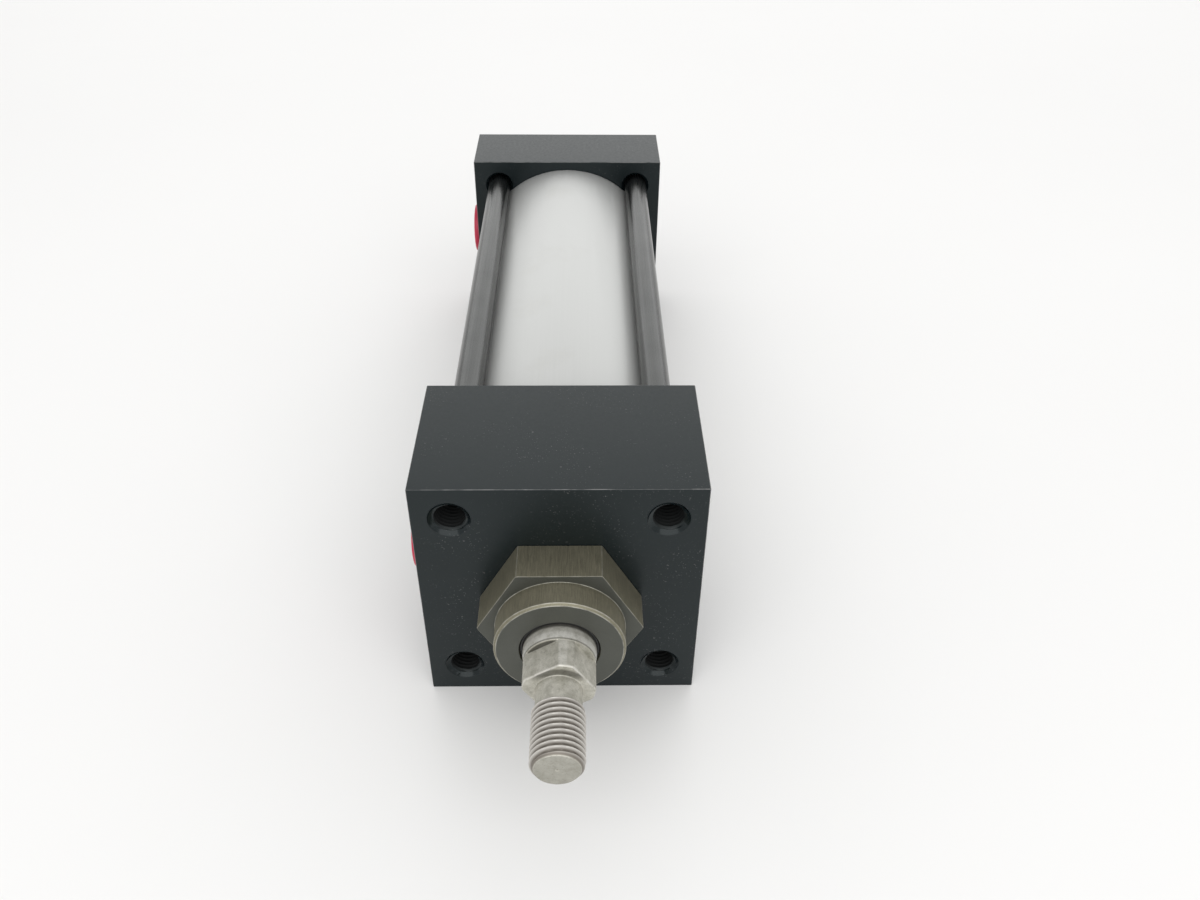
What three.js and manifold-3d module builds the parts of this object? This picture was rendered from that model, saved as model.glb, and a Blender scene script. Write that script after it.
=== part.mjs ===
// Tie-rod pneumatic cylinder: square head and cap, plain round tube, four tie rods, threaded gland
// cartridge, piston with its seals, and a piston rod with wrench flats and a male thread.
//
// Units are millimetres. +Z is up and the cylinder's axis runs along Y, with the rod's tip towards -Y.
// The origin is the centre of the head's bottom face, so the axis is half a block's width above it.
// A "depth" is measured along +Y from the head's front face, so the rod's tip has a negative depth.

import * as THREE from "three";
import { mergeVertices } from "three/addons/utils/BufferGeometryUtils.js";
import Module from "manifold-3d";

const wasm = await Module();
wasm.setup();

// ---------------------------------------------------------------- driving dimensions

const INCH = 25.4;

// Blocks and tube
const BLOCK_WIDTH = 2.5 * INCH;
const HEAD_DEPTH = 1.5 * INCH;
const CAP_DEPTH = 1.0 * INCH;
const TUBE_SHOWING = 5.25 * INCH;
const BLOCK_CORNER_RADIUS = 0.8;
const BLOCK_EDGE_CHAMFER = 0.4;
const BORE_RADIUS = 1.0 * INCH;
const TUBE_RADIUS = 28.9;
const TUBE_SOCKET_DEPTH = 3.2;
const TUBE_SOCKET_CLEARANCE = 0.1;
const TUBE_SEAL_THICKNESS = 1.2;
const TUBE_SEAL_INSET = 0.3;
const CAVITY_RADIUS = 12.5;
const CAP_CAVITY_DEPTH = 21;

// Tie rods and the holes that take them
const TIE_ROD_OFFSET = 0.92 * INCH;
const TIE_ROD_RADIUS = 3.62;
const TIE_ROD_HOLE_RADIUS = 3.75;
const TIE_ROD_HOLE_CHAMFER = 1.0;
const TIE_ROD_CHAMFER = 0.6;
const TIE_ROD_INSET = 0.3;
const MOUNTING_HOLE_RADIUS = 3.4;
const MOUNTING_HOLE_DEPTH = 17.5;
const COUNTERSINK_RADIUS = 4.7;
const COUNTERSINK_DEPTH = 1.5;
const NUT_RECESS_RADIUS = 6.5;
const NUT_RECESS_DEPTH = 10;
const NUT_RADIUS = 6.2;
const NUT_HEIGHT = 9.2;
const NUT_CHAMFER = 0.5;
const NUT_SOCKET_ACROSS_FLATS = 7.9;
const NUT_SOCKET_DEPTH = 4.2;

// Gland cartridge
const GLAND_ACROSS_FLATS = 1.25 * INCH;
const GLAND_HEX_HEIGHT = 0.375 * INCH;
const GLAND_HEX_CHAMFER = 0.9;
const PILOT_RADIUS = 0.562 * INCH;
const PILOT_HEIGHT = 0.25 * INCH;
const PILOT_CHAMFER = 0.8;
const GLAND_BODY_RADIUS = 13.2;
const GLAND_BODY_LENGTH = 14.2;
const GLAND_BODY_CHAMFER = 0.5;
const GLAND_HOLE_RADIUS = 13.4;
const GLAND_HOLE_DEPTH = 14.5;

// Piston rod
const ROD_RADIUS = 0.3125 * INCH;
const ROD_SHOULDER_DEPTH = -26.45;
const ROD_STUD_LENGTH = 0.75 * INCH;
const ROD_STUD_RADIUS = 5.5;
const ROD_STUD_RUNOUT = 0.6;
const ROD_NECK_RADIUS = 4.87;
const ROD_NECK_LENGTH = 5.2;
const ROD_TIP_CHAMFER = 1.0;
const ROD_TAPER_START_DEPTH = -17.4;
const ROD_TAPER_LENGTH = 1.5;
const ROD_WRENCH_RADIUS = 7.72;
const ROD_SHOULDER_CHAMFER = 0.5;
const ROD_ACROSS_FLATS = 12.9;
const ROD_FLATS_LENGTH = 7.05;
const ROD_FLATS_TURN = THREE.MathUtils.degToRad(12);
const ROD_SPIGOT_RADIUS = 6.3;
const ROD_SPIGOT_THREAD_RADIUS = 5.9;
const ROD_END_CHAMFER = 0.8;
const ROD_END_PAST_NUT = 1.5;

// Piston
const STROKE = 3.75 * INCH;
const PISTON_LENGTH = 1.25 * INCH;
const PISTON_RADIUS = 25.2;
const PISTON_CHAMFER = 0.8;
const BUMPER_THICKNESS = 3.0;
const BUMPER_GAP = (TUBE_SHOWING - STROKE - PISTON_LENGTH - 2 * BUMPER_THICKNESS) / 2;
const SEAL_RADIUS = 25.3;
const SEAL_GROOVE_RADIUS = 21.4;
const SEAL_GROOVE_WIDTH = 4.2;
const BAND_GROOVE_RADIUS = 23.6;
const BAND_GROOVE_WIDTH = 6.6;
const PISTON_NUT_ACROSS_FLATS = 17;
const PISTON_NUT_HEIGHT = 7.5;

// Ports, with a moulded plug pushed into each
const PORT_RADIUS = 6.85;
const PORT_DEPTH = 13;
const PORT_DRILL_RADIUS = 4.5;
const HEAD_PORT_DEPTH = 0.85 * INCH;
const CAP_PORT_DEPTH = HEAD_DEPTH + TUBE_SHOWING + 0.625 * INCH;
const PLUG_FLANGE_RADIUS = 8.5;
const PLUG_FLANGE_THICKNESS = 2.1;
const PLUG_LENGTH = 11;
const PLUG_ROOT_RADIUS = 6.7;
const PLUG_TIP_RADIUS = 6.0;
const PLUG_HOLLOW_RADIUS = 4.6;
const PLUG_HOLLOW_DEPTH = 9.2;
const PLUG_RIM_CHAMFER = 0.5;
const HEAD_PLUG_STAND_OFF = 1.5;
const CAP_PLUG_STAND_OFF = 0.3;

// Clearance between a piece and the neighbour it only rests against, and around a seal in its groove
const REST_GAP = 0.05;
const GROOVE_GAP = 0.1;

// How far a cutting tool runs past the face it starts or ends at
const OVERSHOOT = 1;

// Smoothness of round shapes
const BORE_SIDES = 48;
const ROUND_SIDES = 32;
const HOLE_SIDES = 20;

// ---------------------------------------------------------------- worked-out places

const AXIS_HEIGHT = BLOCK_WIDTH / 2;
const HEAD_FACE_Y = -HEAD_DEPTH / 2;
const TUBE_START = HEAD_DEPTH;
const CAP_START = HEAD_DEPTH + TUBE_SHOWING;
const CAP_END = CAP_START + CAP_DEPTH;
const TUBE_END_INSET = TUBE_SOCKET_DEPTH - TUBE_SEAL_THICKNESS - 2 * REST_GAP;
const HEAD_SEAL_FROM = HEAD_DEPTH - TUBE_SOCKET_DEPTH + REST_GAP;
const CAP_SEAL_FROM = CAP_START + TUBE_SOCKET_DEPTH - TUBE_SEAL_THICKNESS - REST_GAP;
const PISTON_END = CAP_START - BUMPER_GAP - BUMPER_THICKNESS;
const PISTON_START = PISTON_END - PISTON_LENGTH;
const ROD_TIP_DEPTH = ROD_SHOULDER_DEPTH - ROD_STUD_LENGTH;
const ROD_FLATS_END = ROD_SHOULDER_DEPTH + ROD_FLATS_LENGTH;
const CORNERS = [
  [-1, 1],
  [1, 1],
  [-1, -1],
  [1, -1],
];

// ---------------------------------------------------------------- solids

// A geometry as a manifold-3d solid.
function toSolid(geometry) {
  const bare = geometry.clone();
  bare.deleteAttribute("normal");
  bare.deleteAttribute("uv");
  const merged = mergeVertices(bare, 1e-4);
  const vertProperties = Float32Array.from(merged.attributes.position.array);
  const triVerts = Uint32Array.from(merged.index.array);
  return new wasm.Manifold(new wasm.Mesh({ numProp: 3, vertProperties, triVerts }));
}

// A manifold-3d solid as a geometry.
function toGeometry(solid) {
  const mesh = solid.getMesh();
  const geometry = new THREE.BufferGeometry();
  geometry.setAttribute("position", new THREE.BufferAttribute(mesh.vertProperties, 3));
  geometry.setIndex(new THREE.BufferAttribute(mesh.triVerts, 1));
  geometry.computeVertexNormals();
  return geometry;
}

// The base with every tool cut away from it.
function cut(base, ...tools) {
  return tools.reduce((solid, tool) => solid.subtract(tool), base);
}

// A solid turned about the cylinder's axis from a closed outline of [radius, depth] points.
function turned(outline, sides = ROUND_SIDES) {
  const loop = outline.map(([radius, depth]) => new THREE.Vector2(radius, depth));
  if (THREE.ShapeUtils.area(loop) < 0) {
    loop.reverse();
  }
  loop.push(loop[0].clone());
  return toSolid(new THREE.LatheGeometry(loop, sides));
}

// A plain shaft about the axis from one depth to another, with an optional chamfer at each end.
function shaft(radius, from, to, { sides = ROUND_SIDES, chamfer = 0 } = {}) {
  const outline = [[0, from], [radius - chamfer, from]];
  if (chamfer > 0) {
    outline.push([radius, from + chamfer], [radius, to - chamfer]);
  }
  outline.push([radius - chamfer, to], [0, to]);
  return turned(outline, sides);
}

// A flat-sided ring about the axis.
function ring(innerRadius, outerRadius, from, to, sides = ROUND_SIDES) {
  return turned([[innerRadius, from], [outerRadius, from], [outerRadius, to], [innerRadius, to]], sides);
}

// A ring of round section about the axis.
function roundRing(middleRadius, sectionRadius, depth, sides = ROUND_SIDES) {
  const torus = new THREE.TorusGeometry(middleRadius, sectionRadius, 6, sides);
  torus.rotateX(Math.PI / 2);
  torus.translate(0, depth, 0);
  return toSolid(torus);
}

// A hexagonal prism about the axis, with flats at the top and bottom.
function hexPrism(acrossFlats, from, to) {
  const cornerRadius = acrossFlats / Math.sqrt(3);
  const prism = new THREE.CylinderGeometry(cornerRadius, cornerRadius, to - from, 6, 1, false, Math.PI / 6);
  prism.translate(0, (from + to) / 2, 0);
  return toSolid(prism);
}

// A hexagonal prism whose corners are rounded off at both ends, as a nut is turned.
function nutBlank(acrossFlats, from, to, chamfer) {
  const cornerRadius = acrossFlats / Math.sqrt(3);
  const faceRadius = cornerRadius - chamfer;
  const rise = chamfer * Math.tan(Math.PI / 6);
  const envelope = turned([
    [0, from],
    [faceRadius, from],
    [cornerRadius, from + rise],
    [cornerRadius, to - rise],
    [faceRadius, to],
    [0, to],
  ]);
  return hexPrism(acrossFlats, from, to).intersect(envelope);
}

// A square block about the axis with softened edges.
function block(from, to) {
  const half = BLOCK_WIDTH / 2 - BLOCK_EDGE_CHAMFER;
  const corner = BLOCK_CORNER_RADIUS;
  const outline = new THREE.Shape();
  outline.moveTo(half - corner, -half);
  outline.absarc(half - corner, corner - half, corner, -Math.PI / 2, 0);
  outline.absarc(half - corner, half - corner, corner, 0, Math.PI / 2);
  outline.absarc(corner - half, half - corner, corner, Math.PI / 2, Math.PI);
  outline.absarc(corner - half, corner - half, corner, Math.PI, 1.5 * Math.PI);
  const body = new THREE.ExtrudeGeometry(outline, {
    depth: to - from - 2 * BLOCK_EDGE_CHAMFER,
    curveSegments: 3,
    bevelEnabled: true,
    bevelThickness: BLOCK_EDGE_CHAMFER,
    bevelSize: BLOCK_EDGE_CHAMFER,
    bevelSegments: 1,
  });
  body.rotateX(Math.PI / 2);
  body.translate(0, to - BLOCK_EDGE_CHAMFER, 0);
  return toSolid(body);
}

// The same solid once at each tie rod's corner.
function atCorners(solid) {
  return CORNERS.map(([x, z]) => solid.translate(x * TIE_ROD_OFFSET, 0, z * TIE_ROD_OFFSET));
}

// The hole for a pipe port in a block's left side, with the smaller drilling on to the axis.
function portHole(depth) {
  const side = -BLOCK_WIDTH / 2;
  const mouth = new THREE.CylinderGeometry(PORT_RADIUS, PORT_RADIUS, 2 * PORT_DEPTH, ROUND_SIDES);
  mouth.rotateZ(Math.PI / 2);
  mouth.translate(side, depth, 0);
  const drilling = new THREE.CylinderGeometry(PORT_DRILL_RADIUS, PORT_DRILL_RADIUS, -side, HOLE_SIDES);
  drilling.rotateZ(Math.PI / 2);
  drilling.translate(side / 2, depth, 0);
  return toSolid(mouth).add(toSolid(drilling));
}

// ---------------------------------------------------------------- materials

function finish(colour, roughness, metalness) {
  return new THREE.MeshStandardMaterial({ color: colour, roughness, metalness });
}

const blackAnodised = () => finish(0x2d3336, 0.5, 0.6);
const clearAnodised = () => finish(0xd4d5d1, 0.5, 0.7);
const blackSteel = () => finish(0x4a4c4c, 0.3, 0.9);
const oxidisedIron = () => finish(0x58564a, 0.5, 0.8);
const stainless = () => finish(0xb4b0a6, 0.35, 1.0);
const bronze = () => finish(0xa07840, 0.4, 1.0);
const aluminium = () => finish(0xc0c2c2, 0.45, 0.9);
const sealRubber = () => finish(0x151515, 0.7, 0.0);
const urethane = () => finish(0x8a5a2a, 0.5, 0.0);
const bearingTape = () => finish(0x2f5a52, 0.6, 0.0);
const redPlastic = () => finish(0xbe2846, 0.45, 0.0);

// ---------------------------------------------------------------- fixed pieces

// The tube's socket in a block's inner face: a round slot that takes the tube's end and its seal.
function tubeSocket(from, to) {
  const inner = BORE_RADIUS - 2 * TUBE_SOCKET_CLEARANCE;
  return ring(inner, TUBE_RADIUS + TUBE_SOCKET_CLEARANCE, from, to, BORE_SIDES);
}

// The hole for one tie rod in the head: countersunk and tapped from the front, drilled from the rear.
function headCornerHole() {
  const flare = (COUNTERSINK_RADIUS - MOUNTING_HOLE_RADIUS) / COUNTERSINK_DEPTH;
  return turned(
    [
      [0, -OVERSHOOT],
      [COUNTERSINK_RADIUS + flare * OVERSHOOT, -OVERSHOOT],
      [MOUNTING_HOLE_RADIUS, COUNTERSINK_DEPTH],
      [MOUNTING_HOLE_RADIUS, MOUNTING_HOLE_DEPTH],
      [TIE_ROD_HOLE_RADIUS, MOUNTING_HOLE_DEPTH],
      [TIE_ROD_HOLE_RADIUS, HEAD_DEPTH - TIE_ROD_HOLE_CHAMFER],
      [COUNTERSINK_RADIUS + OVERSHOOT, HEAD_DEPTH + OVERSHOOT],
      [0, HEAD_DEPTH + OVERSHOOT],
    ],
    HOLE_SIDES,
  );
}

// The hole for one tie rod in the cap, with the recess for its nut at the rear.
function capCornerHole() {
  return turned(
    [
      [0, CAP_START - OVERSHOOT],
      [COUNTERSINK_RADIUS + OVERSHOOT, CAP_START - OVERSHOOT],
      [TIE_ROD_HOLE_RADIUS, CAP_START + TIE_ROD_HOLE_CHAMFER],
      [TIE_ROD_HOLE_RADIUS, CAP_END - NUT_RECESS_DEPTH],
      [NUT_RECESS_RADIUS, CAP_END - NUT_RECESS_DEPTH],
      [NUT_RECESS_RADIUS, CAP_END + OVERSHOOT],
      [0, CAP_END + OVERSHOOT],
    ],
    HOLE_SIDES,
  );
}

function headBlock() {
  return cut(
    block(0, HEAD_DEPTH),
    shaft(GLAND_HOLE_RADIUS, -OVERSHOOT, GLAND_HOLE_DEPTH),
    shaft(CAVITY_RADIUS, GLAND_HOLE_DEPTH - OVERSHOOT, HEAD_DEPTH + OVERSHOOT),
    tubeSocket(HEAD_DEPTH - TUBE_SOCKET_DEPTH, HEAD_DEPTH + OVERSHOOT),
    portHole(HEAD_PORT_DEPTH),
    ...atCorners(headCornerHole()),
  );
}

function capBlock() {
  return cut(
    block(CAP_START, CAP_END),
    shaft(CAVITY_RADIUS, CAP_START - OVERSHOOT, CAP_START + CAP_CAVITY_DEPTH),
    tubeSocket(CAP_START - OVERSHOOT, CAP_START + TUBE_SOCKET_DEPTH),
    portHole(CAP_PORT_DEPTH),
    ...atCorners(capCornerHole()),
  );
}

function tubeBody() {
  return ring(BORE_RADIUS, TUBE_RADIUS, TUBE_START - TUBE_END_INSET, CAP_START + TUBE_END_INSET, BORE_SIDES);
}

// The flat ring that the tube's end squeezes against the floor of its socket.
function tubeSeal(from) {
  return ring(BORE_RADIUS, TUBE_RADIUS - TUBE_SEAL_INSET, from, from + TUBE_SEAL_THICKNESS);
}

function tieRod() {
  const start = MOUNTING_HOLE_DEPTH + TIE_ROD_INSET;
  const end = CAP_END - NUT_RECESS_DEPTH + NUT_HEIGHT - NUT_SOCKET_DEPTH;
  return shaft(TIE_ROD_RADIUS, start, end, { sides: HOLE_SIDES, chamfer: TIE_ROD_CHAMFER });
}

// A round nut with a hexagon socket, sunk in the cap's rear face.
function tieRodNut() {
  const seat = CAP_END - NUT_RECESS_DEPTH + REST_GAP;
  const top = seat + NUT_HEIGHT;
  const socketFloor = top - NUT_SOCKET_DEPTH;
  return cut(
    shaft(NUT_RADIUS, seat, top, { sides: HOLE_SIDES, chamfer: NUT_CHAMFER }),
    shaft(TIE_ROD_HOLE_RADIUS, seat - OVERSHOOT, top - OVERSHOOT, { sides: HOLE_SIDES }),
    hexPrism(NUT_SOCKET_ACROSS_FLATS, socketFloor, top + OVERSHOOT),
  );
}

// ---------------------------------------------------------------- gland and its parts

// Depths along the gland's bore, from the pilot's end face back to the cartridge's rear face.
const PILOT_FACE = -GLAND_HEX_HEIGHT - PILOT_HEIGHT;
const WIPER_FROM = PILOT_FACE + 1.0;
const WIPER_TO = WIPER_FROM + 3.6;
const ROD_SEAL_FROM = WIPER_TO + 2.8;
const ROD_SEAL_TO = ROD_SEAL_FROM + 4.4;
const BUSHING_FROM = ROD_SEAL_TO + 2;
const BUSHING_TO = GLAND_BODY_LENGTH - 0.3;
const WIPER_MOUTH_RADIUS = 8.75;
const WIPER_GROOVE_RADIUS = 11.1;
const ROD_SEAL_GROOVE_RADIUS = 11.6;
const BUSHING_RADIUS = 9.6;
const GLAND_BORE_RADIUS = 8.15;
const ROD_LIP_RADIUS = 8.0;
const WIPER_LIP_REACH = 0.6;
const LIP_THICKNESS = 0.5;
const O_RING_SECTION = 0.95;
const O_RING_DEPTH = 12.0;
const O_RING_GROOVE_WIDTH = 2.4;

function glandCartridge() {
  const grooveFloor = GLAND_BODY_RADIUS - 2 * O_RING_SECTION;
  const grooveFrom = O_RING_DEPTH - O_RING_GROOVE_WIDTH / 2;
  const grooveTo = O_RING_DEPTH + O_RING_GROOVE_WIDTH / 2;
  const outside = turned([
    [0, PILOT_FACE],
    [PILOT_RADIUS - PILOT_CHAMFER, PILOT_FACE],
    [PILOT_RADIUS, PILOT_FACE + PILOT_CHAMFER],
    [PILOT_RADIUS, -GLAND_HEX_HEIGHT / 2],
    [GLAND_BODY_RADIUS, -GLAND_HEX_HEIGHT / 2],
    [GLAND_BODY_RADIUS, grooveFrom],
    [grooveFloor, grooveFrom],
    [grooveFloor, grooveTo],
    [GLAND_BODY_RADIUS, grooveTo],
    [GLAND_BODY_RADIUS - GLAND_BODY_CHAMFER, GLAND_BODY_LENGTH],
    [0, GLAND_BODY_LENGTH],
  ]);
  const bore = turned([
    [0, PILOT_FACE - OVERSHOOT],
    [WIPER_MOUTH_RADIUS, PILOT_FACE - OVERSHOOT],
    [WIPER_MOUTH_RADIUS, WIPER_FROM],
    [WIPER_GROOVE_RADIUS, WIPER_FROM],
    [WIPER_GROOVE_RADIUS, WIPER_TO],
    [GLAND_BORE_RADIUS, WIPER_TO],
    [GLAND_BORE_RADIUS, ROD_SEAL_FROM],
    [ROD_SEAL_GROOVE_RADIUS, ROD_SEAL_FROM],
    [ROD_SEAL_GROOVE_RADIUS, ROD_SEAL_TO],
    [GLAND_BORE_RADIUS, ROD_SEAL_TO],
    [GLAND_BORE_RADIUS, BUSHING_FROM],
    [BUSHING_RADIUS, BUSHING_FROM],
    [BUSHING_RADIUS, GLAND_BODY_LENGTH + OVERSHOOT],
    [0, GLAND_BODY_LENGTH + OVERSHOOT],
  ]);
  const hex = nutBlank(GLAND_ACROSS_FLATS, -GLAND_HEX_HEIGHT, -REST_GAP, GLAND_HEX_CHAMFER);
  return outside.add(hex).subtract(bore);
}

// The lip that scrapes the rod clean, held in a groove behind the pilot's end face.
function rodWiper() {
  const outer = WIPER_GROOVE_RADIUS - GROOVE_GAP;
  const from = WIPER_FROM + GROOVE_GAP;
  const to = WIPER_TO - GROOVE_GAP;
  return turned([
    [ROD_LIP_RADIUS, from - WIPER_LIP_REACH],
    [ROD_LIP_RADIUS + LIP_THICKNESS, from - WIPER_LIP_REACH],
    [ROD_LIP_RADIUS + LIP_THICKNESS, from],
    [outer, from],
    [outer, to],
    [ROD_LIP_RADIUS + LIP_THICKNESS, to],
  ]);
}

// A U-shaped pressure seal whose open side faces the piston.
function rodSeal() {
  const outer = ROD_SEAL_GROOVE_RADIUS - GROOVE_GAP;
  const from = ROD_SEAL_FROM + GROOVE_GAP;
  const to = ROD_SEAL_TO - GROOVE_GAP;
  return turned([
    [ROD_LIP_RADIUS + LIP_THICKNESS / 2, from],
    [outer, from],
    [outer, to],
    [outer - LIP_THICKNESS, to],
    [(ROD_LIP_RADIUS + outer) / 2, (from + to) / 2],
    [ROD_LIP_RADIUS + LIP_THICKNESS, to],
    [ROD_LIP_RADIUS, to],
  ]);
}

function rodBushing() {
  return ring(ROD_LIP_RADIUS, BUSHING_RADIUS - REST_GAP, BUSHING_FROM + REST_GAP, BUSHING_TO);
}

function glandORing() {
  return roundRing(GLAND_BODY_RADIUS - O_RING_SECTION + GROOVE_GAP, O_RING_SECTION - REST_GAP, O_RING_DEPTH);
}

// ---------------------------------------------------------------- piston and rod

const SEAL_LAND = 3.2;
const FRONT_SEAL_FROM = PISTON_START + SEAL_LAND;
const BAND_FROM = PISTON_START + (PISTON_LENGTH - BAND_GROOVE_WIDTH) / 2;
const REAR_SEAL_FROM = PISTON_END - SEAL_LAND - SEAL_GROOVE_WIDTH;
const PISTON_BORE_RADIUS = ROD_SPIGOT_RADIUS + REST_GAP;
const PISTON_O_RING_RADIUS = 1.0;
const PISTON_O_RING_DEPTH = PISTON_START + 6;
const BUMPER_INNER_RADIUS = 13.5;
const BUMPER_OUTER_RADIUS = 19.5;

function pistonRod() {
  const rodEnd = PISTON_END + PISTON_NUT_HEIGHT + ROD_END_PAST_NUT;
  const neckEnd = ROD_SHOULDER_DEPTH - ROD_NECK_LENGTH;
  const profile = turned([
    [0, ROD_TIP_DEPTH],
    [ROD_STUD_RADIUS - ROD_TIP_CHAMFER, ROD_TIP_DEPTH],
    [ROD_STUD_RADIUS, ROD_TIP_DEPTH + ROD_TIP_CHAMFER],
    [ROD_STUD_RADIUS, neckEnd - ROD_STUD_RUNOUT],
    [ROD_NECK_RADIUS, neckEnd],
    [ROD_NECK_RADIUS, ROD_SHOULDER_DEPTH],
    [ROD_WRENCH_RADIUS - ROD_SHOULDER_CHAMFER, ROD_SHOULDER_DEPTH],
    [ROD_WRENCH_RADIUS, ROD_SHOULDER_DEPTH + ROD_SHOULDER_CHAMFER],
    [ROD_WRENCH_RADIUS, ROD_TAPER_START_DEPTH - ROD_TAPER_LENGTH],
    [ROD_RADIUS, ROD_TAPER_START_DEPTH],
    [ROD_RADIUS, PISTON_START - REST_GAP],
    [ROD_SPIGOT_RADIUS, PISTON_START - REST_GAP],
    [ROD_SPIGOT_RADIUS, PISTON_END - ROD_END_CHAMFER],
    [ROD_SPIGOT_THREAD_RADIUS, PISTON_END - ROD_END_CHAMFER / 2],
    [ROD_SPIGOT_THREAD_RADIUS, rodEnd - ROD_END_CHAMFER],
    [ROD_SPIGOT_THREAD_RADIUS - ROD_END_CHAMFER, rodEnd],
    [0, rodEnd],
  ]);
  return cut(profile, ...wrenchFlats());
}

// Four slabs that leave the rod square between its shoulder and the end of the flats.
function wrenchFlats() {
  const length = ROD_FLATS_LENGTH + OVERSHOOT;
  return [0, 1, 2, 3].map((quarter) => {
    const slab = new THREE.BoxGeometry(4 * ROD_RADIUS, length, ROD_RADIUS);
    slab.translate(0, ROD_FLATS_END - length / 2, (ROD_ACROSS_FLATS + ROD_RADIUS) / 2);
    slab.rotateY(Math.PI / 4 + ROD_FLATS_TURN + (quarter * Math.PI) / 2);
    return toSolid(slab);
  });
}

function pistonBody() {
  const outside = turned(
    [
      [0, PISTON_START],
      [PISTON_RADIUS - PISTON_CHAMFER, PISTON_START],
      [PISTON_RADIUS, PISTON_START + PISTON_CHAMFER],
      [PISTON_RADIUS, PISTON_END - PISTON_CHAMFER],
      [PISTON_RADIUS - PISTON_CHAMFER, PISTON_END],
      [0, PISTON_END],
    ],
    BORE_SIDES,
  );
  const sealGroove = (from) =>
    ring(SEAL_GROOVE_RADIUS, PISTON_RADIUS + OVERSHOOT, from, from + SEAL_GROOVE_WIDTH, BORE_SIDES);
  const bandGroove = ring(
    BAND_GROOVE_RADIUS,
    PISTON_RADIUS + OVERSHOOT,
    BAND_FROM,
    BAND_FROM + BAND_GROOVE_WIDTH,
    BORE_SIDES,
  );
  const oRingGroove = shaft(
    PISTON_BORE_RADIUS + 2 * PISTON_O_RING_RADIUS,
    PISTON_O_RING_DEPTH - O_RING_GROOVE_WIDTH / 2,
    PISTON_O_RING_DEPTH + O_RING_GROOVE_WIDTH / 2,
  );
  return cut(
    outside,
    shaft(PISTON_BORE_RADIUS, PISTON_START - OVERSHOOT, PISTON_END + OVERSHOOT),
    sealGroove(FRONT_SEAL_FROM),
    sealGroove(REAR_SEAL_FROM),
    bandGroove,
    oRingGroove,
  );
}

// A U-shaped piston seal; facing is -1 where its open side faces the head and 1 where it faces the cap.
function pistonSeal(grooveFrom, facing) {
  const middle = grooveFrom + SEAL_GROOVE_WIDTH / 2;
  const half = SEAL_GROOVE_WIDTH / 2 - GROOVE_GAP;
  const open = middle + facing * half;
  const back = middle - facing * half;
  const inner = SEAL_GROOVE_RADIUS + GROOVE_GAP;
  return turned(
    [
      [inner, back],
      [SEAL_RADIUS - LIP_THICKNESS, back],
      [SEAL_RADIUS, open - facing * LIP_THICKNESS],
      [SEAL_RADIUS - LIP_THICKNESS, open],
      [(inner + SEAL_RADIUS) / 2, middle],
      [inner + LIP_THICKNESS, open],
      [inner, open],
    ],
    BORE_SIDES,
  );
}

function wearBand() {
  const from = BAND_FROM + GROOVE_GAP;
  const to = BAND_FROM + BAND_GROOVE_WIDTH - GROOVE_GAP;
  return ring(BAND_GROOVE_RADIUS + GROOVE_GAP, SEAL_RADIUS, from, to, BORE_SIDES);
}

function bumper(from) {
  return ring(BUMPER_INNER_RADIUS, BUMPER_OUTER_RADIUS, from, from + BUMPER_THICKNESS - REST_GAP);
}

function pistonNut() {
  const from = PISTON_END + REST_GAP;
  const to = from + PISTON_NUT_HEIGHT;
  const thread = shaft(ROD_SPIGOT_THREAD_RADIUS + GROOVE_GAP, from - OVERSHOOT, to + OVERSHOOT);
  return nutBlank(PISTON_NUT_ACROSS_FLATS, from, to, GLAND_HEX_CHAMFER).subtract(thread);
}

function pistonORing() {
  const middle = PISTON_BORE_RADIUS + PISTON_O_RING_RADIUS;
  return roundRing(middle, PISTON_O_RING_RADIUS - REST_GAP, PISTON_O_RING_DEPTH);
}

// ---------------------------------------------------------------- port plugs

// A hollow tapered plug with a round flange, standing on its own axis: +Y points out of the port.
function portPlug() {
  const rim = PLUG_RIM_CHAMFER;
  return toGeometry(
    turned([
      [0, -PLUG_LENGTH],
      [PLUG_TIP_RADIUS, -PLUG_LENGTH],
      [PLUG_ROOT_RADIUS, 0],
      [PLUG_FLANGE_RADIUS, 0],
      [PLUG_FLANGE_RADIUS, PLUG_FLANGE_THICKNESS - rim],
      [PLUG_FLANGE_RADIUS - rim, PLUG_FLANGE_THICKNESS],
      [PLUG_HOLLOW_RADIUS + rim, PLUG_FLANGE_THICKNESS],
      [PLUG_HOLLOW_RADIUS, PLUG_FLANGE_THICKNESS - rim],
      [PLUG_HOLLOW_RADIUS - rim, PLUG_FLANGE_THICKNESS - PLUG_HOLLOW_DEPTH],
      [0, PLUG_FLANGE_THICKNESS - PLUG_HOLLOW_DEPTH],
    ]),
  );
}

// ---------------------------------------------------------------- assembly

// Everything turned about the cylinder's axis hangs on this group; its Y is the depth.
const axis = new THREE.Group();
axis.position.set(0, HEAD_FACE_Y, AXIS_HEIGHT);

function addPiece(name, solid, material) {
  const mesh = new THREE.Mesh(toGeometry(solid), material);
  mesh.name = name;
  axis.add(mesh);
  return mesh;
}

addPiece("head", headBlock(), blackAnodised());
addPiece("cap", capBlock(), blackAnodised());
addPiece("tube", tubeBody(), clearAnodised());
addPiece("tube_seal_head", tubeSeal(HEAD_SEAL_FROM), sealRubber());
addPiece("tube_seal_cap", tubeSeal(CAP_SEAL_FROM), sealRubber());

CORNERS.forEach(([x, z], index) => {
  const rod = addPiece(`tie_rod_${index + 1}`, tieRod(), blackSteel());
  rod.position.set(x * TIE_ROD_OFFSET, 0, z * TIE_ROD_OFFSET);
  const nut = addPiece(`tie_rod_nut_${index + 1}`, tieRodNut(), blackSteel());
  nut.position.copy(rod.position);
});

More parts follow.
